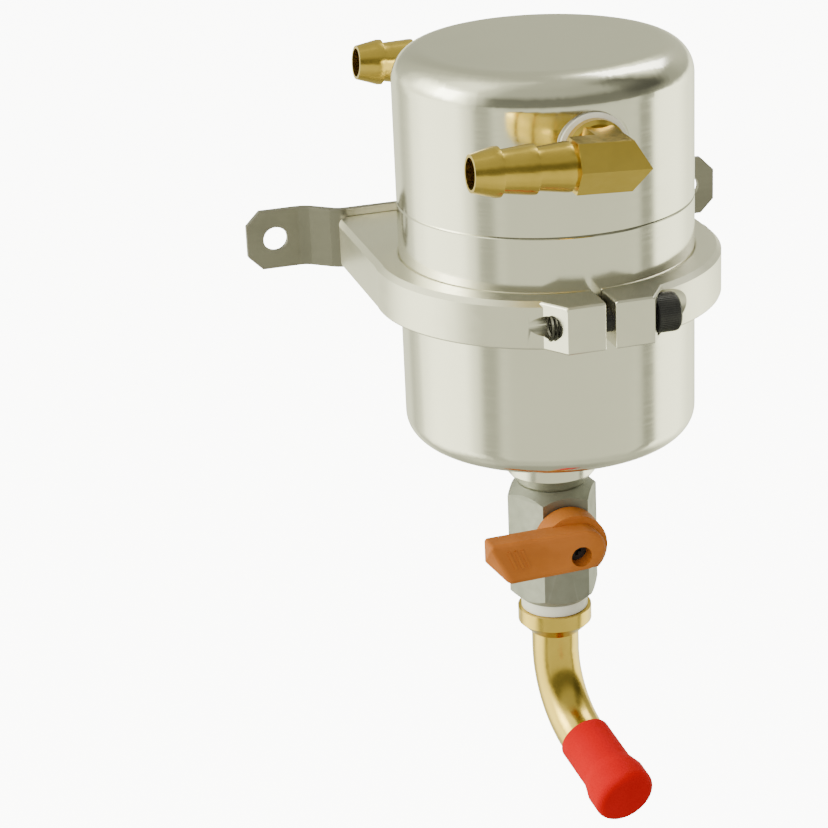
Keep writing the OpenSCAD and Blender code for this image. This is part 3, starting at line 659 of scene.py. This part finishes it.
class Knurl(GrownShape):
    """Equal small ribs that stand round the Z axis, as on the head of a socket screw."""

    def __init__(self) -> None:
        """Builds the tree."""
        super().__init__("knurl", [
            ("Count", "NodeSocketInt", 48), ("Radius", "NodeSocketFloat", 0.005),
            ("Rib Size", "NodeSocketVector", (0.0002, 0.0003, 0.005))])
        ring = self.add("GeometryNodeMeshCircle", {"Vertices": "in:Count", "Radius": "in:Radius"})
        outward = self.add("GeometryNodeInputPosition", {})
        facing = self.add("FunctionNodeAlignRotationToVector", {"Vector": outward.outputs[0]}, axis="X")
        rib = self.add("GeometryNodeMeshCube", {"Size": "in:Rib Size"})
        row = self.add("GeometryNodeInstanceOnPoints", {
            "Points": ring.outputs[0], "Instance": rib.outputs[0], "Rotation": facing.outputs[0]})
        self.close(row.outputs[0], False)


@dataclass
class Mounting:
    """The strap, the split clamp and their screws."""

    shop: Workshop
    ridge: HelixRidge
    knurl: Knurl
    head_start: float = 13.0 * MM
    head_length: float = 6.2 * MM
    head_radius: float = 5.0 * MM
    screw_radius: float = 3.0 * MM
    screw_y: float = -56.0 * MM - 45.65 * MM
    screw_tip: float = -9.0 * MM
    thread_pitch: float = 1.0 * MM
    thread_depth: float = 6.0 * MM
    thread_gap: float = 0.12 * MM
    thread_ridge: float = 0.4 * MM
    thread_steps: int = 32
    rib_count: int = 54
    rib_section: tuple[float, float] = (0.24 * MM, 0.3 * MM)
    rib_start: float = 0.2 * MM
    head_bevel: float = 1.2 * MM
    chamfer_limit: float = math.radians(60.0)
    hole_reach: float = 7.0 * MM
    slope_length: float = 0.7 * MM
    slope_rise: float = 0.05 * MM
    tolerance: float = 0.03 * MM

    def build(self) -> None:
        """Makes the skins and the threads."""
        self.shop.skin("bracket_strap", STRAP_STEEL, bevel=0.15 * MM)
        self.shop.skin("strap_screws", BRIGHT_STEEL)
        self.shop.skin("clamp_ring", CLAMP_METAL, bevel=0.5 * MM, spared=self._stays_crisp)
        self.shop.skin("clamp_screw", BLACK_STEEL)
        self._tapped_thread()
        self._head_knurl()

    def _stays_crisp(self, edge: bmesh.types.BMEdge) -> bool:
        """Tells whether an edge of the clamp is a chamfer's or runs round the clamp screw.

        Args:
            edge: The edge.

        Returns:
            True for an edge that gets no bevel.
        """
        near, far = (math.hypot(corner.co.y - self.screw_y, corner.co.z) for corner in edge.verts)
        round_screw = abs(near - far) < self.tolerance and near < self.hole_reach
        chamfer_end = all(abs(corner.co.y - CAN_AXIS.y) < self.tolerance for corner in edge.verts)
        start, end = (corner.co for corner in edge.verts)
        short_slope = edge.calc_length() < self.slope_length and abs(start.z - end.z) > self.slope_rise
        return round_screw or chamfer_end or short_slope or edge.calc_face_angle(0.0) < self.chamfer_limit

    def _along_screw(self, start: float) -> Matrix:
        """Gives the place on the clamp screw's axis whose Z runs along the screw.

        Args:
            start: The place's X.

        Returns:
            The place.
        """
        return Matrix.Translation((start, self.screw_y, 0.0)) @ Matrix.Rotation(math.pi / 2, 4, "Y")

    def _tapped_thread(self) -> None:
        """Grows the thread that shows in the clamp's left hole beyond the screw's end."""
        # The thread's near-black finish is painted shade for the inside of the hole, not the metal's own
        # colour.
        self.shop.grow("tapped_thread", self.ridge, {
            "Radius": self.screw_radius + self.thread_gap, "Turns": self.thread_depth / self.thread_pitch,
            "Height": self.thread_depth, "Ridge": self.thread_ridge, "Steps": self.thread_steps},
            self._along_screw(self.screw_tip - self.thread_depth), "bracket", SHADED_THREAD_METAL)

    def _head_knurl(self) -> None:
        """Stands fine ribs round the clamp screw's head, short of its bevelled end."""
        length = self.head_length - self.head_bevel
        middle = self.head_start + self.rib_start + length / 2
        self.shop.grow("head_knurl", self.knurl, {
            "Count": self.rib_count, "Radius": self.head_radius, "Rib Size": (*self.rib_section, length)},
            self._along_screw(middle), "bracket", BLACK_STEEL)


@dataclass
class CanShell:
    """The cup, its lid and what lies between them."""

    shop: Workshop
    neck: float = 10.0 * MM
    pitch: float = 2.0 * MM
    thread_start: float = 0.6 * MM
    thread_end: float = 0.8 * MM

    def build(self) -> None:
        """Makes the skins of the cup, the lid and what lies between them."""
        patch = ThreadPatch(self.pitch, SEAM_Z + self.thread_start, SEAM_Z + self.neck - self.thread_end)
        threaded = self.shop.paint.material(POLISHED, "_threaded", patch=patch)
        self.shop.skin("can_body", POLISHED, material=threaded)
        self.shop.skin("can_lid", POLISHED)
        self.shop.skin("lid_o_ring", RUBBER, crease=60.0)
        self.shop.skin("mesh_pad", MESH)
        self.shop.skin("baffle_plate", CLAMP_METAL)


@dataclass
class Ports:
    """The two brass hose elbows and their washers."""

    shop: Workshop

    def build(self) -> None:
        """Makes the skins."""
        for side in ("inlet", "outlet"):
            self.shop.skin(side + "_elbow", BRASS, bevel=0.12 * MM)
            self.shop.skin(side + "_washer", WASHER, bevel=0.15 * MM)


@dataclass
class DrainValve:
    """The hexagon valve, its inside and its lever."""

    shop: Workshop

    def build(self) -> None:
        """Makes the skins of the valve, its inside and its lever."""
        self.shop.skin("valve_body", NICKEL, bevel=0.2 * MM)
        self.shop.skin("valve_handle", ORANGE, crease=40.0)
        self.shop.skin("handle_screw", BLACK_STEEL)
        self.shop.skin("valve_stem", BRASS)
        self.shop.skin("valve_ball", BRIGHT_STEEL)
        self.shop.skin("upper_seat", SEAT)
        self.shop.skin("lower_seat", SEAT)
        self.shop.skin("valve_retainer", NICKEL)
        self.shop.skin("stem_o_ring", RUBBER, crease=60.0)


@dataclass
class Drain:
    """The washer, the bent brass tube and the red cap."""

    shop: Workshop

    def build(self) -> None:
        """Makes the skins."""
        self.shop.skin("drain_washer", WASHER, bevel=0.25 * MM)
        self.shop.skin("drain_elbow", BRASS, bevel=0.2 * MM)
        self.shop.skin("drain_cap", VINYL, bevel=0.2 * MM)


@dataclass
class Viewpoint:
    """The photograph's camera, as a place and a direction round the can's axis."""

    azimuth: float = -18.5
    distance: float = 626.36 * MM
    height: float = 189.56 * MM
    pitch: float = 0.382
    yaw: float = -0.06
    roll: float = -0.0462
    lens: float = 106.15
    sensor: float = 36.0
    far: float = 20.0

    def build(self) -> None:
        """Makes the camera and gives it to the scene."""
        fwd = Vector((math.sin(self.yaw) * math.cos(self.pitch),
                      math.cos(self.yaw) * math.cos(self.pitch), -math.sin(self.pitch)))
        right = Vector((math.cos(self.yaw), -math.sin(self.yaw), 0.0))
        up = right.cross(fwd)
        level = Matrix((right * math.cos(self.roll) + up * math.sin(self.roll),
                        up * math.cos(self.roll) - right * math.sin(self.roll), -fwd)).transposed()
        turn = Matrix.Rotation(math.radians(self.azimuth), 3, "Z")
        camera = bpy.data.objects.new("photo_camera", bpy.data.cameras.new("photo_camera"))
        camera.data.lens = self.lens
        camera.data.sensor_width = self.sensor
        camera.data.clip_end = self.far
        bpy.context.scene.collection.objects.link(camera)
        spot = turn @ Vector((0.0, -self.distance, self.height))
        spot += CAN_AXIS + Vector((0.0, 0.0, SEAM_Z))
        camera.matrix_world = Matrix.Translation(spot) @ (turn @ level).to_4x4()
        bpy.context.scene.camera = camera
        LOG.info("camera at %s", tuple(round(v, 4) for v in spot))


@dataclass(frozen=True)
class Softbox:
    """One soft lamp round the can, aimed at it."""

    name: str
    azimuth: float
    elevation: float
    distance: float
    size: tuple[float, float]
    power: float
    tint: tuple[float, float, float] = (1.0, 0.98, 0.94)
    mirrored: bool = True


@dataclass(frozen=True)
class Tier:
    """A ring of the surround between two heights of the mirrored direction, with its upright bands."""

    bottom: float
    top: float
    bands: tuple[tuple[float, float], ...]


@dataclass
class Studio:
    """A pale floor, a pale surround and soft lamps."""

    lamps: list[Softbox] = field(default_factory=lambda: [
        Softbox("left_box", -98.0, 24.0, 1.2, (0.4, 0.5), 2.5),
        Softbox("front_fill", -30.0, 30.0, 1.0, (0.9, 0.9), 9.0, mirrored=False),
        Softbox("right_box", 118.0, 50.0, 1.2, (0.4, 0.7), 4.0),
    ])
    floor_gap: float = 45.0 * MM
    floor_width: float = 6.0
    floor_glow: float = 9.0
    floor_sides: int = 96
    floor_color: tuple[float, float, float, float] = (0.93, 0.93, 0.92, 1.0)
    floor_light: tuple[float, float, float, float] = (1.0, 1.0, 0.995, 1.0)
    floor_rough: float = 0.9
    surround_power: float = 1.0
    tint: tuple[float, float, float] = (0.985, 1.005, 0.73)
    tiers: tuple[Tier, ...] = (
        Tier(-1.0, -0.96, ((0.00, 0.5), (1.00, 0.5))),
        Tier(-0.88, -0.76, ((0.00, 0.6), (0.10, 0.8), (0.20, 1.1), (0.30, 0.8), (0.60, 0.85), (1.00, 0.6))),
        Tier(-0.55, -0.05, (
            (0.00, 1.5), (0.04, 1.6), (0.07, 1.0), (0.095, 1.3), (0.13, 3.0), (0.17, 3.7), (0.255, 3.5),
            (0.285, 2.0), (0.308, 0.64), (0.330, 0.64), (0.350, 1.20), (0.375, 1.03), (0.50, 1.02),
            (0.62, 1.06), (0.655, 1.15), (0.670, 0.50), (0.692, 0.55), (0.712, 3.2), (0.78, 3.3),
            (0.85, 2.2), (0.92, 1.6), (1.00, 1.5))),
        Tier(0.03, 0.08, (
            (0.00, 0.62), (0.06, 0.9), (0.10, 2.4), (0.27, 3.2), (0.31, 0.6), (0.34, 0.26), (0.64, 0.26),
            (0.66, 0.22), (0.70, 0.3), (0.78, 0.5), (0.82, 0.6), (0.90, 0.8), (1.00, 0.62))),
        Tier(0.25, 0.45, (
            (0.00, 0.62), (0.06, 0.8), (0.10, 1.5), (0.15, 5.0), (0.20, 8.0), (0.25, 7.0), (0.30, 1.2),
            (0.34, 0.22), (0.62, 0.22), (0.665, 0.12), (0.72, 0.10), (0.78, 0.5), (0.86, 0.8), (0.91, 0.72),
            (1.00, 0.62))),
        Tier(0.66, 0.86, (
            (0.00, 0.64), (0.06, 0.85), (0.13, 1.3), (0.18, 2.2), (0.25, 2.4), (0.31, 1.1), (0.36, 0.62),
            (0.60, 0.58), (0.66, 0.25), (0.71, 0.15), (0.74, 0.6), (0.79, 2.3), (0.89, 2.3), (0.925, 0.8),
            (0.95, 0.64), (1.00, 0.64))),
        Tier(0.97, 1.0, (
            (0.00, 0.66), (0.10, 0.8), (0.20, 1.2), (0.30, 0.9), (0.40, 0.66), (1.00, 0.66))),
    )
    aim: Vector = field(default_factory=lambda: Vector((0.0, -56.0 * MM, -20.0 * MM)))

    def build(self) -> None:
        """Makes the floor, the surround and the lamps."""
        self._floor()
        self._surround()
        for lamp in self.lamps:
            self._lamp(lamp)

    def _floor(self) -> None:
        """Lays a round floor under the object, clear from below, since the object hangs."""
        mesh = bpy.data.meshes.new("studio_floor")
        shape = bmesh.new()
        bmesh.ops.create_circle(shape, cap_ends=True, segments=self.floor_sides, radius=self.floor_width / 2)
        bmesh.ops.translate(shape, verts=shape.verts,
                            vec=(0.0, 0.0, CAD_BOX[0][2] - self.floor_gap))
        shape.to_mesh(mesh)
        shape.free()
        paint = bpy.data.materials.new("studio_floor")
        paint.use_nodes = True
        shader = paint.node_tree.nodes["Principled BSDF"]
        shader.inputs["Base Color"].default_value = self.floor_color
        shader.inputs["Roughness"].default_value = self.floor_rough
        shader.inputs["Emission Color"].default_value = self.floor_light
        shader.inputs["Emission Strength"].default_value = self.floor_glow
        nodes, links = paint.node_tree.nodes, paint.node_tree.links
        one_sided = nodes.new("ShaderNodeMixShader")
        links.new(nodes.new("ShaderNodeNewGeometry").outputs["Backfacing"], one_sided.inputs[0])
        links.new(shader.outputs[0], one_sided.inputs[1])
        links.new(nodes.new("ShaderNodeBsdfTransparent").outputs[0], one_sided.inputs[2])
        links.new(one_sided.outputs[0], nodes["Material Output"].inputs["Surface"])
        mesh.materials.append(paint)
        floor = bpy.data.objects.new("studio_floor", mesh)
        bpy.context.scene.collection.objects.link(floor)
        floor.visible_glossy = False
        floor.visible_diffuse = False

    def _surround(self) -> None:
        """Paints what the metal mirrors: tiers of soft upright bands, one above the other."""
        world = bpy.data.worlds.new("studio_surround")
        bpy.context.scene.world = world
        world.use_nodes = True
        tree = world.node_tree
        nodes, links = tree.nodes, tree.links
        split = nodes.new("ShaderNodeSeparateXYZ")
        links.new(nodes.new("ShaderNodeTexCoord").outputs["Generated"], split.inputs[0])
        flip = nodes.new("ShaderNodeMath")
        flip.operation = "MULTIPLY"
        flip.inputs[1].default_value = -1.0
        links.new(split.outputs[1], flip.inputs[0])
        turn = nodes.new("ShaderNodeMath")
        turn.operation = "ARCTAN2"
        links.new(split.outputs[0], turn.inputs[0])
        links.new(flip.outputs[0], turn.inputs[1])
        round_way = self._spread(tree, turn.outputs[0], -math.pi, math.pi)

        light = self._ramp(tree, round_way, self.tiers[0].bands)
        for below, tier in zip(self.tiers, self.tiers[1:]):
            climb = self._spread(tree, split.outputs[2], below.top, tier.bottom)
            light = self._blend(tree, climb, light, self._ramp(tree, round_way, tier.bands))
        glow = nodes.new("ShaderNodeRGB")
        glow.outputs[0].default_value = (self.floor_glow, self.floor_glow, self.floor_glow, 1.0)
        seen = nodes.new("ShaderNodeLightPath").outputs["Is Camera Ray"]
        back = nodes["Background"]
        links.new(self._blend(tree, seen, light, glow.outputs[0]), back.inputs["Color"])
        back.inputs["Strength"].default_value = self.surround_power

    @staticmethod
    def _spread(tree: bpy.types.NodeTree, value: bpy.types.NodeSocket, low: float,
                high: float) -> bpy.types.NodeSocket:
        """Maps a range onto 0 to 1.

        Args:
            tree: The tree that gets the node.
            value: What is mapped.
            low: The value that becomes 0.
            high: The value that becomes 1.

        Returns:
            The mapped value.
        """
        node = tree.nodes.new("ShaderNodeMapRange")
        node.inputs["From Min"].default_value = low
        node.inputs["From Max"].default_value = high
        tree.links.new(value, node.inputs["Value"])
        return node.outputs["Result"]

    @staticmethod
    def _blend(tree: bpy.types.NodeTree, share: bpy.types.NodeSocket, first: bpy.types.NodeSocket,
               second: bpy.types.NodeSocket) -> bpy.types.NodeSocket:
        """Mixes two colours.

        Args:
            tree: The tree that gets the node.
            share: How much of the second colour is used.
            first: The first colour.
            second: The second colour.

        Returns:
            The mixed colour.
        """
        node = tree.nodes.new("ShaderNodeMix")
        node.data_type = "RGBA"
        tree.links.new(share, node.inputs["Factor"])
        tree.links.new(first, node.inputs["A"])
        tree.links.new(second, node.inputs["B"])
        return node.outputs["Result"]

    def _ramp(self, tree: bpy.types.NodeTree, value: bpy.types.NodeSocket,
              stops: tuple[tuple[float, float], ...]) -> bpy.types.NodeSocket:
        """Adds a ramp in the surround's warm tint.

        Args:
            tree: The tree that gets the ramp.
            value: What the ramp reads.
            stops: Places and levels.

        Returns:
            The ramp's colour.
        """
        node = tree.nodes.new("ShaderNodeValToRGB")
        ramp = node.color_ramp
        ramp.interpolation = "EASE"
        while len(ramp.elements) < len(stops):
            ramp.elements.new(0.5)
        for element, (place, level) in zip(ramp.elements, stops):
            element.position = place
            element.color = (*(level * part for part in self.tint), 1.0)
        tree.links.new(value, node.inputs["Fac"])
        return node.outputs["Color"]

    def _lamp(self, plan: Softbox) -> None:
        """Hangs one soft lamp.

        Args:
            plan: The lamp's place, size and power.
        """
        data = bpy.data.lights.new(plan.name, "AREA")
        data.shape = "RECTANGLE"
        data.size, data.size_y = plan.size
        data.energy = plan.power
        data.color = plan.tint
        a, e = math.radians(plan.azimuth), math.radians(plan.elevation)
        away = Vector((math.sin(a) * math.cos(e), -math.cos(a) * math.cos(e), math.sin(e)))
        lamp = bpy.data.objects.new(plan.name, data)
        lamp.visible_glossy = plan.mirrored
        bpy.context.scene.collection.objects.link(lamp)
        lamp.matrix_world = (Matrix.Translation(self.aim + away * plan.distance)
                             @ away.to_track_quat("Z", "Y").to_matrix().to_4x4())


def main() -> None:
    """Builds every sub-assembly, the studio and the camera."""
    logging.basicConfig(level=logging.INFO, format="%(message)s")
    Viewpoint().build()
    shop = Workshop(Paintbox())
    mounting = Mounting(shop, HelixRidge(), Knurl())
    for part in (mounting, CanShell(shop), Ports(shop), DrainValve(shop), Drain(shop)):
        part.build()
        LOG.info("finished %s", type(part).__name__)
    Studio().build()


if __name__ == "__main__":
    main()
